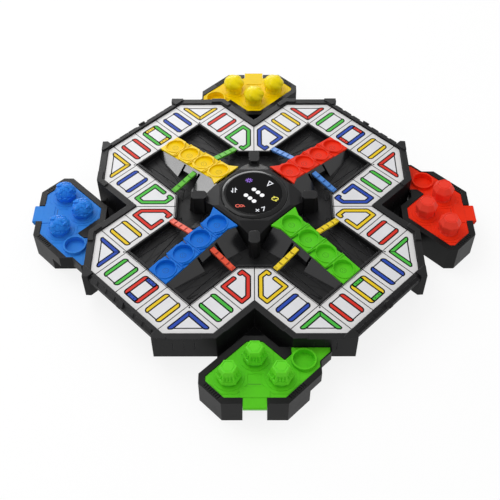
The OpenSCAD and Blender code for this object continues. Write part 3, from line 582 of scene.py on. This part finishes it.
def on_arm(k, points, side=1):
    """Points drawn on the arm along +X, mirrored if side is -1, on the arm k."""
    turn = Matrix.Rotation(math.radians(90 * (k - 1)), 2)
    placed = [turn @ Vector((p[0], side * p[1])) for p in points]
    return placed[::side]


def boxed(x, y, half_x, half_y):
    """The corners of a rectangle round its middle."""
    return [(x - half_x, y - half_y), (x + half_x, y - half_y),
            (x + half_x, y + half_y), (x - half_x, y + half_y)]


print("an arm is", 2 * ARM_V, "mm wide and ends", ARM_U, "mm out")

# %% Windows between two bars, and the thin lines that close them
THIN_W, THIN_INSET = 1.15, 0.3
HALF_GAP, HALF_BAR = MARK_L / 2 - BAR_W, MARK_W / 2
CELLS = [(FIRST_MID, LANE_MID, False), (FIRST_MID, -LANE_MID, False),
         (END_MID, SIDE_CELL_V, True), (END_MID, -SIDE_CELL_V, True)]

windows, lines = [], []
for k in range(4):
    for x, y, turned in CELLS:
        across, along = (HALF_BAR, HALF_GAP) if turned else (HALF_GAP, HALF_BAR)
        windows.append(sheet_of(on_arm(k, boxed(x, y, across, along)), *PRINT_Z))
        for s in (-1, 1):
            out = s * (HALF_BAR - THIN_INSET)
            ends = ([(x + out, y - HALF_GAP), (x + out, y + HALF_GAP)] if turned
                    else [(x - HALF_GAP, y + out), (x + HALF_GAP, y + out)])
            lines.append(ribbon(on_arm(k, ends), THIN_W, *INK, closed=False))
    windows.append(sheet_of(on_arm(k, boxed(END_MID, 0, HALF_BAR - BAR_W, HALF_GAP)), *PRINT_Z))
print(len(windows), "windows and", len(lines), "lines")

# %% Windows in the corner cells and in the pointed cells
CORNER = WELL_U + MARK_END, WELL_V + MARK_END
LEG, FINE_W = 27.44, 0.9
INNER_LEG = LEG - 2 * BAR_W
POINT_U, POINT_V, CUT_U, CUT_V, SLANT = (66.6, 94.8), (50.2, 78.2), 84.2, 60.6, 1.4
POINTED = [(POINT_U[0] + BAR_W, POINT_V[0] + BAR_W), (POINT_U[1] - BAR_W, POINT_V[0] + BAR_W),
           (POINT_U[1] - BAR_W, POINT_V[1] - BAR_W), (CUT_U + SLANT, POINT_V[1] - BAR_W),
           (POINT_U[0] + BAR_W, CUT_V - SLANT)]

for k in range(4):
    for side in (1, -1):
        x, y = CORNER[0] + BAR_W, CORNER[1] + BAR_W
        long_side = [(x + INNER_LEG - 0.5, y), (x, y + INNER_LEG - 0.5)]
        windows.append(sheet_of(on_arm(k, [(x, y), (x + INNER_LEG, y), (x, y + INNER_LEG)], side), *PRINT_Z))
        lines.append(ribbon(on_arm(k, long_side, side), THIN_W, *INK, closed=False))
        lines.append(ribbon(on_arm(k, [CORNER, (x, y)], side), FINE_W, *INK, closed=False))
        windows.append(sheet_of(on_arm(k, POINTED, side), *PRINT_Z))
make_piece("window_panels", windows, window_print, "board", "white_plates")
make_piece("thin_lines", lines, black_ink, "board", "white_plates")
print(len(windows), "windows and", len(lines), "lines in all")

# %% [markdown]
# ## Seams, the lip and dots
# The plates of an arm are separate mouldings, and the seam where two of them meet is
# drawn as a near-black strip of painted shade. A fine near-black line of painted shade runs
# along the lip of the well. Small printed dots mark the start bars and the corners of the
# well. All of them are strips and discs on the plates.

# %% Dark seams between the plates, and the fine line along the lip of the well
SEAM_W, DIAGONAL_W, LIP_W, LIP_OUT, LIP_TIP = 0.75, 0.8, 0.55, 1.2, 0.5
TIP_SUM, START_V = 112.71, 15.0
SEAMS = [[(TIP_U, WELL_V), (TIP_U, ARM_V)], [(WELL_U, WELL_V), (WELL_U, ARM_V)],
         [(WELL_U, WELL_V), (ARM_U, WELL_V)], [(WELL_U, START_V), (ARM_U, START_V)]]

seams, lip = [], []
for k in range(4):
    for side in (1, -1):
        seams += [ribbon(on_arm(k, ends, side), SEAM_W, *INK, closed=False) for ends in SEAMS]
    diagonal = on_arm(k, [(TIP_SUM / 2, TIP_SUM / 2), (ARM_V, ARM_V)])
    seams.append(ribbon(diagonal, DIAGONAL_W, *INK, closed=False))
lip_u, lip_v, tip_u = WELL_U + LIP_OUT, WELL_V + LIP_OUT, TIP_SUM - WELL_V + LIP_TIP
for k in range(1, 5):
    lip += on_arm(k, [(lip_u, -lip_v), (lip_u, lip_v), (tip_u, lip_v)]) + on_arm(k + 1, [(tip_u, -lip_v)])
make_piece("plate_seams", seams, painted_groove_shade, "board", "white_plates")
make_piece("lip_line", [ribbon(lip, LIP_W, *INK)], painted_groove_shade, "board", "white_plates")
print(len(seams), "seams")

# %% Dots on the start bars and at the corners of the well
START_DOT_R, CORNER_DOT_R, CORNER_DOT_OUT = 0.6, 0.85, 2.2
START_DOTS = [(END_MID + u, v) for u in (-11.75, 11.75) for v in (-2.6, 2.6)]

dots = []
for k in range(4):
    dots += [disc(p.x, p.y, START_DOT_R, *INK, sides=16) for p in on_arm(k, START_DOTS)]
    for side in (1, -1):
        p = on_arm(k, [(WELL_U + CORNER_DOT_OUT, WELL_V + CORNER_DOT_OUT)], side)[0]
        dots.append(disc(p.x, p.y, CORNER_DOT_R, *INK, sides=16))
make_piece("small_dots", dots, black_ink, "board", "white_plates")
print(len(dots), "dots")

# %% [markdown]
# ## Fine grooves and small marks
# The floor of the well is cut by thin grooves, the bars beside the ramps carry small
# studs, and the pockets and the seats have engraved rings. All of them follow a surface
# that is already there, so each line is drawn in plan and dropped onto that surface in
# short pieces. A piece is left out where the surface jumps or leaves its level.

# %% Drop points onto a CAD node
ABOVE_ALL = 70.0
plumb_trees = {}


def height_of(node, x, y):
    """Where a plumb line at x, y meets a node, in millimetres, or None."""
    if node not in plumb_trees:
        mesh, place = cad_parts[node].data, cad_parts[node].matrix_world
        plumb_trees[node] = BVHTree.FromPolygons([place @ v.co for v in mesh.vertices],
                                                 [p.vertices for p in mesh.polygons])
    spot = plumb_trees[node].ray_cast(Vector((x, y, ABOVE_ALL)) * MM, Vector((0, 0, -1)))[0]
    return None if spot is None else spot.z / MM


print("the floor of the well lies at", round(height_of("top_housing", 100, 30), 2), "mm")

# %% Lay a line on a CAD node
STEP, JUMP, OFF_LEVEL, SUNK, PROUD = 1.2, 1.1, 0.1, 0.1, 0.04


def laid_line(node, path, width, closed=False, level=None):
    """Short pieces of a thin strip that lie on a node along a path in plan."""
    path = [Vector(p[:2]) for p in path]
    if closed:
        path.append(path[0])
    solids = []
    for a, b in zip(path, path[1:]):
        count = max(1, round((b - a).length / STEP))
        side = Vector((a.y - b.y, b.x - a.x)).normalized() * width / 2
        for i in range(count):
            p, q = a.lerp(b, i / count), a.lerp(b, (i + 1) / count)
            corners = [p - side, q - side, q + side, p + side]
            heights = [height_of(node, *corner) for corner in corners]
            if None in heights or max(heights) - min(heights) > JUMP:
                continue
            if level is not None and max(abs(h - level) for h in heights) > OFF_LEVEL:
                continue
            low = [(*corner, h - SUNK) for corner, h in zip(corners, heights)]
            high = [(*corner, h + PROUD) for corner, h in zip(corners, heights)]
            solids.append((low + high, [(0, 3, 2, 1), (4, 5, 6, 7)]
                           + [(j, (j + 1) % 4, 4 + (j + 1) % 4, 4 + j) for j in range(4)]))
    return solids


# %% Grooves in the floor of the well
FLOOR_LINES = [[(125.4, 25.5), (100, 25.4), (77.9, 25.6)],
               [(125.4, 25.5), (114.8, 27.8), (98.3, 34.8), (81.9, 36.0), (73.1, 37.6)],
               [(102.3, 15.7), (93.5, 18.7)], [(61.5, 22), (61.5, 44)], [(61.5, 36.8), (52, 36.8)],
               [(61.5, 29.5), (70.5, 29.5)], [(70.5, 24), (70.5, 40)], [(52, 22), (52, 35)]]
FLOOR_LINE_W = 0.55

# The grooves are near-black strips laid on the floor: painted shade in them.
grooves = []
for k in range(4):
    for side in (1, -1):
        for points in FLOOR_LINES:
            grooves += laid_line("top_housing", on_arm(k, points, side), FLOOR_LINE_W)
make_piece("floor_grooves", grooves, painted_groove_shade, "board", "black_housing")
print(len(grooves), "short pieces of groove")

# %% [markdown]
# ## Studs on the bridge bars
# Each bar beside a ramp has a row of small studs. The bars are read back from the model
# as groups of joined points, and the studs stand along the longest line across the top of
# each group. The model's faces are only joined where they meet smoothly, so a bar counts
# as many groups, and their studs overlap.

# %% Groups of joined points in a node
def joined_groups(node):
    """The points of each group that a node's edges join, in millimetres."""
    mesh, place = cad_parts[node].data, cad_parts[node].matrix_world
    home = list(range(len(mesh.vertices)))

    def root(i):
        while home[i] != i:
            home[i] = home[home[i]]
            i = home[i]
        return i
    for edge in mesh.edges:
        home[root(edge.vertices[0])] = root(edge.vertices[1])
    groups = {}
    for i, v in enumerate(mesh.vertices):
        groups.setdefault(root(i), []).append(place @ v.co / MM)
    return list(groups.values())


# %% Studs on the bars beside the ramps
STUD_R, STUD_H, TOP_SLACK, STUD_SHARES = 0.38, 0.1, 0.1, (-0.3, -0.1, 0.1, 0.3)

for c in COLOURS:
    studs = []
    for points in joined_groups("bridges_" + c):
        top = max(p.z for p in points)
        upper = [Vector(p[:2]) for p in points if p.z > top - TOP_SLACK]
        middle = sum(upper, Vector((0, 0))) / len(upper)
        along = max((a - b for a in upper for b in upper), key=lambda d: d.length)
        for share in STUD_SHARES:
            x, y = middle + along * share
            high = height_of("bridges_" + c, x, y)
            if high is not None:
                studs.append(disc(x, y, STUD_R, high - STUD_H, high + STUD_H, sides=10))
    make_piece("studs_" + c, studs, finish["line", c], "board", c + "_plastic")
    print(c, "studs:", len(studs))

# %% [markdown]
# ## Rings in the pockets and round the seats
# A playing piece stops in a round pocket of a ramp, or stands in a seat of its tray. Each
# pocket has a fine engraved ring with three dots in it. Round each seat run a circle and
# an eight-sided line, and a bare plate lies before the tab of the tray. The insert is
# stepped round its seats, and these lines are only drawn where they meet its lowest face.

# %% Engraved rings and dots in the pockets of the ramps
POCKET_U, POCKET_STEP = 119.5, 22.6
RING_R, RING_W, DOT_PLACE_R, DOT_R, MARK_SUNK, MARK_PROUD = 2.9, 0.35, 1.25, 0.42, 0.1, 0.03

# The rings and dots are drawn in the darker copy of the ramp colour: painted shade of the engraving.
for k, c in enumerate(COLOURS):
    marks = []
    for i in range(4):
        x, y = on_arm(k, [(POCKET_U - POCKET_STEP * i, 0)])[0]
        pocket_z = height_of("ramp_" + c, x, y)
        levels = pocket_z - MARK_SUNK, pocket_z + MARK_PROUD
        marks.append(ribbon(oval(x, y, RING_R, RING_R, 20), RING_W, *levels))
        for dot_x, dot_y in oval(x, y, DOT_PLACE_R, DOT_PLACE_R, 3, start=math.pi / 4):
            marks.append(disc(dot_x, dot_y, DOT_R, *levels, sides=10))
    make_piece("pocket_marks_" + c, marks, finish["line", c], "board", c + "_plastic")
    print(c, "pocket marks:", len(marks))

# %% Rings round the seats of the trays, and the bare plate before the tab
INSERT_Z = 28.4
SEATS = [(0, -175.2), (-23, -195.5), (23, -195.5)]
SEAT_RING_R, SEAT_OCTAGON_R, SEAT_LINE_W = 13.8, 15.9, 0.62
TAB_PLATE = [(-12.4, -213), (-12.4, -205.5), (-9.4, -202.2), (9.4, -202.2), (12.4, -205.5), (12.4, -213)]


def on_diagonal(k, points):
    """Points drawn on the diagonal along -Y, where a tray would stand, on the diagonal k."""
    turn = Matrix.Rotation(math.radians(45 + 90 * (k - 1)), 2)
    return [turn @ Vector(p) for p in points]


# The seat lines are drawn in the darker copy of the ramp colour: painted shade of the engraving.
for k, c in enumerate(COLOURS):
    solids = []
    for x, y in SEATS:
        for path in (oval(x, y, SEAT_RING_R, SEAT_RING_R, 48),
                     oval(x, y, SEAT_OCTAGON_R, SEAT_OCTAGON_R, 8, start=math.pi / 8)):
            solids += laid_line("insert_" + c, on_diagonal(k, path), SEAT_LINE_W, closed=True, level=INSERT_Z)
    solids += laid_line("insert_" + c, on_diagonal(k, TAB_PLATE), SEAT_LINE_W, level=INSERT_Z)
    make_piece("seat_rings_" + c, solids, finish["line", c], "tray_" + c, c + "_plastic")
    print(c, "tray lines:", len(solids))

# %% [markdown]
# ## Corner plates
# Where two arms meet, the board has a deep notch for a tray, and the photograph shows
# black behind the tray, not the table. A thin black plate across each notch, low down,
# closes the view.

# %% Corner plates that close the notches of the board behind the trays
PLATE_LEVELS = 10.2, 11.4
CORNER_PLATE = [(0, -129.2), (33.8, -163), (22.4, -163), (10.4, -151.0), (-10.4, -151.0),
                (-22.4, -163), (-33.8, -163)]

corner_plates = [sheet_of(on_diagonal(k, CORNER_PLATE), *PLATE_LEVELS) for k in range(4)]
make_piece("corner_plates", corner_plates, black_housing, "board", "black_housing")
print(len(corner_plates), "corner plates")

# %% [markdown]
# ## Signs on the display
# The roll button is a dark glass with lights under it. When it is on, six round dots show
# the throw, and small signs round them show what else can come up: plain arrows, a
# loop, a triangle, a cross and a burst. They are drawn as thin lit strips just in the
# surface of the glass, in simple shapes that belong to no one.

# %% A lit finish, and strokes that face the player
GLASS_Z = 58.2
LIT = (GLASS_Z - 0.1, GLASS_Z + 0.03)
STROKE_W, FACING = 0.9, math.radians(45)


def lit_sign(name, colour):
    """A finish that glows in one colour, a little unevenly."""
    f = Finish(name)
    tone = f.mix(f.noise(1.2), shade(colour, 0.92), colour)
    rough = 0.25 + f.noise(2.0) * 0.1
    return f.done(f.node("BsdfPrincipled", {}, {"Base Color": (0.02, 0.02, 0.02), "Roughness": rough,
                                                "Emission Color": tone, "Emission Strength": 1.0}))


def stroke(x, y, points, width=STROKE_W, closed=False):
    """A lit strip at a place on the glass, drawn upright for a player at the near corner."""
    turn = Matrix.Rotation(FACING, 2)
    return ribbon([turn @ Vector(p) + Vector((x, y)) for p in points], width, *LIT, closed=closed)


# %% Lit signs
THROW = [disc(x, y, 2.35, *LIT) for x in (-4.0, 1.75, 7.4) for y in (3.7, -7.6)]
TRIANGLE = [stroke(2.0, 20.7, [(-2.6, -2.6), (2.9, 0.3), (-0.6, 3.6)], closed=True)]
ARROWS = [stroke(-17.3, -11.3, [(-1.3, 3.0), (-1.3, -2.8), (-2.9, -0.6)]),
          stroke(-17.3, -11.3, [(1.3, -3.0), (1.3, 2.8), (2.9, 0.6)])]
CROSS = [stroke(18.5, -14.0, [(-1.6, -1.6), (1.6, 1.6)]), stroke(18.5, -14.0, [(-1.6, 1.6), (1.6, -1.6)])]
HOOK = [stroke(20.3, -9.5, [(-0.8, 1.4), (2.4, 2.6), (1.4, -3.0)])]
LOOP = [stroke(20.0, 9.3, oval(0, 0, 3.2, 2.2, 20), closed=True),
        stroke(20.0, 9.3, [(-1.4, 3.6), (0.2, 2.2), (-1.4, 0.9)]),
        stroke(20.0, 9.3, [(1.4, -3.6), (-0.2, -2.2), (1.4, -0.9)])]
RINGS = [stroke(2.1, -21.9, oval(-2.4, 0, 2.0, 1.7, 20), closed=True),
         stroke(2.1, -21.9, oval(1.3, 0, 1.5, 1.3, 20), closed=True),
         stroke(2.1, -21.9, [(2.9, 1.2), (4.6, -1.2)])]
BURST = [stroke(-16.5, 9.2, ends, width=1.1)
         for ends in zip(oval(0, 0, 0.9, 0.9, 8, start=0.2), oval(0, 0, 3.7, 3.2, 8, start=0.2))]
SIGNS = {"sign_dots": ((0.93, 0.94, 0.96), THROW),
         "sign_white": ((0.85, 0.87, 0.92), TRIANGLE + ARROWS + CROSS + HOOK),
         "sign_yellow": ((0.80, 0.72, 0.05), LOOP),
         "sign_red": ((0.75, 0.06, 0.02), RINGS),
         "sign_purple": ((0.17, 0.03, 0.55), BURST)}

for name, (colour, strokes) in SIGNS.items():
    make_piece(name, strokes, lit_sign(name, colour), "roll_button", "smoked_glass")
print(len(SIGNS), "groups of signs")

# %% [markdown]
# ## Playing pieces
# Each colour has a sculpted piece of its own: a six-sided turret, a cut gem, a rough rock
# and a fluted cap. All four stand on the same round foot, so that any of them fits any
# pocket. A piece is turned on a lathe in the mind: rings of points climb the axis, and a
# rule per colour says how far each point stands from it.

# %% Rings of points that climb an axis
NECK_Z = 4.3
FOOT = [(0.0, 8.6), (0.4, 9.4), (2.9, 9.5), (3.3, 9.2)]


def wound(rings, sides, bent):
    """A closed form: rings are (height, radius), and above the foot bent moves their points."""
    points = []
    for z, r in rings:
        for j in range(sides):
            t = 2 * math.pi * j / sides
            reach, lift = (r, 0.0) if z < NECK_Z else bent(z, r, t)
            points.append((reach * math.cos(t), reach * math.sin(t), z + lift))
    last = (len(rings) - 1) * sides
    faces = [tuple(range(sides - 1, -1, -1)), tuple(range(last, last + sides))]
    for level in range(len(rings) - 1):
        for j in range(sides):
            a, b = level * sides + j, level * sides + (j + 1) % sides
            faces.append((a, b, b + sides, a + sides))
    return points, faces


def polygon_radius(t, corners, turned):
    """How far the edge of a polygon with its corners at 1 lies from its centre."""
    step = 2 * math.pi / corners
    return math.cos(step / 2) / math.cos((t - turned) % step - step / 2)


def quarter(count):
    """Angles from level to straight up, in even steps."""
    return [math.pi / 2 * i / count for i in range(count + 1)]


print("every piece has a foot", 2 * max(r for z, r in FOOT), "mm across")

# %% [markdown]
# The green turret tapers from a wide belt to a small hollow crown. Each of its six walls
# has a line round it and three upright slots, which are cut by pulling the points in.

# %% Green: a turret with six walls, slotted near the top
TURRET_TURN, WALL = math.radians(45), math.pi / 3
SLOT_Z, SLOT_APART, SLOT_HALF, SLOT_DEPTH = (10.6, 15.4), 3.0, 0.55, 1.3
LINE_Z, LINE_DEPTH = (9.7, 10.2), 0.5


def turret(z, r, t):
    reach = r * polygon_radius(t, 6, TURRET_TURN)
    across = reach * math.sin((t - TURRET_TURN) % WALL - WALL / 2)
    if SLOT_Z[0] < z < SLOT_Z[1] and min(abs(across), abs(abs(across) - SLOT_APART)) < SLOT_HALF:
        reach -= SLOT_DEPTH
    if LINE_Z[0] < z < LINE_Z[1]:
        reach -= LINE_DEPTH
    return reach, 0.0


TURRET_RINGS = (FOOT + [(4.3, 9.2), (5.2, 10.6), (7.2, 12.1)]
                + [(z, 12.1 - (z - 7.2) * 0.33)
                   for z in (9.6, 9.75, 10.15, 10.3, 10.55, 10.65, 15.35, 15.45, 18.9)]
                + [(19.5, 7.7), (19.8, 7.2), (19.8, 6.4), (19.35, 6.1), (19.35, 5.2), (19.7, 4.9), (19.7, 1.0)])
print("turret:", len(TURRET_RINGS), "rings")

# %% [markdown]
# The red gem is cut like a stone, with eight facets that slope up to a flat table and
# down to the foot. Its facets need no rule but the polygon.

# %% Red: a gem with an eight-sided table, on a tapering bowl
GEM_TURN = math.radians(40)


def gem(z, r, t):
    return r * polygon_radius(t, 8, GEM_TURN), 0.0


GEM_RINGS = FOOT + [(4.3, 9.0), (5.0, 9.6), (13.2, 11.3), (14.0, 11.3), (18.6, 7.8), (19.0, 7.6),
                    (19.0, 6.6), (18.6, 6.4), (18.6, 5.8), (19.0, 5.6), (19.0, 1.0)]
print("gem:", len(GEM_RINGS), "rings")

# %% [markdown]
# The blue rock has a smooth seven-sided bowl, and its dome is broken into plates with
# cracks between them. Cells of random shape do both: a point near the border of two
# cells lies in a crack, and each cell has a height of its own.

# %% Blue: a rough rock, its upper half broken into plates
BOWL_Z, CELL_SCALE, CRACK_WIDTH = 10.0, 0.21, 0.16
CRACK_DEPTH, PLATE_REACH, PLATE_LIFT = 0.7, 0.9, 0.5


def rock(z, r, t):
    if z < BOWL_Z:
        return r * (0.55 * polygon_radius(t, 7, 0.5) + 0.45), 0.0
    spot = Vector((r * math.cos(t), r * math.sin(t), z)) * CELL_SCALE
    distances, centres = noise.voronoi(spot)
    crack = max(0.0, 1.0 - (distances[1] - distances[0]) / CRACK_WIDTH)
    plate = noise.cell(centres[0] * 3.0) - 0.5
    lift = PLATE_LIFT * plate * min(1.0, (z - BOWL_Z) / 3.0)
    return r + PLATE_REACH * plate - CRACK_DEPTH * crack, lift


ROCK_RINGS = (FOOT + [(4.3, 9.0)]
              + [(z, 9.6 + 1.9 * math.sin((z - 4.3) / 6.0 * math.pi / 2)) for z in (5.0, 6.0, 7.5, 9.0, 9.9)]
              + [(10.4 + 8.8 * math.sin(a), 1.2 + 10.1 * math.cos(a)) for a in quarter(22)])
print("rock:", len(ROCK_RINGS), "rings")

# %% [markdown]
# The yellow cap is a dome on a narrow neck, with five soft folds that lean as they climb.
# A sine round the axis makes the folds, and squaring it keeps their backs broad.

# %% Yellow: a cap wound with flutes, on a narrow neck
FOLDS, LEAN, FOLD_FROM, DOME_FROM = 5, 0.11, 6.0, 11.0
NECK_FOLD, DOME_FOLD = 0.3, 1.0


def swirl(z, r, t):
    if z < FOLD_FROM:
        return r, 0.0
    wave = math.sin(FOLDS * (t + LEAN * (z - FOLD_FROM)))
    depth = DOME_FOLD if z > DOME_FROM else NECK_FOLD
    return r - depth * (0.5 - 0.5 * wave) ** 2 * min(1.0, r / 6.0), 0.0


SWIRL_RINGS = (FOOT + [(4.2, 8.6), (5.6, 7.9), (7.2, 7.7), (8.6, 8.3), (9.8, 9.8), (10.6, 11.3),
                       (11.2, 11.8)]
               + [(11.6 + 8.2 * math.sin(a), 1.0 + 10.9 * math.cos(a)) for a in quarter(18)])
print("cap:", len(SWIRL_RINGS), "rings")

# %% [markdown]
# ## Twelve pieces in their seats
# The model holds each piece as a plain solid with the right foot and height, which is
# enough for the physics. The carved form takes its place in the picture: it is stretched
# to the same height above the foot, and set at the middle of the solid that it replaces.

# %% Stand the twelve pieces in their seats
PIECE_Z, PIECE_H = 25.8, 21.0
MODELS = {"blue": (ROCK_RINGS, 84, rock), "green": (TURRET_RINGS, 96, turret),
          "red": (GEM_RINGS, 64, gem), "yellow": (SWIRL_RINGS, 84, swirl)}

for c in COLOURS:
    points, faces = wound(*MODELS[c])
    growth = (PIECE_H - NECK_Z) / (max(p[2] for p in points) - NECK_Z)
    points = [(x, y, z if z < NECK_Z else NECK_Z + (z - NECK_Z) * growth) for x, y, z in points]
    for i in (1, 2, 3):
        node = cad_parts[f"pawn_{c}_{i}"]
        corners = [node.matrix_world @ Vector(corner) for corner in node.bound_box]
        x, y = (sum(v[axis] for v in corners) / 8 / MM for axis in (0, 1))
        placed = [(x + a, y + b, PIECE_Z + z) for a, b, z in points]
        piece = make_piece(f"playing_piece_{c}_{i}", [(placed, faces)], finish["piece", c],
                           f"pawn_{c}_{i}", c + "_piece")
        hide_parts(f"pawn_{c}_{i}")
    print(c, "pieces have", len(faces), "faces each")
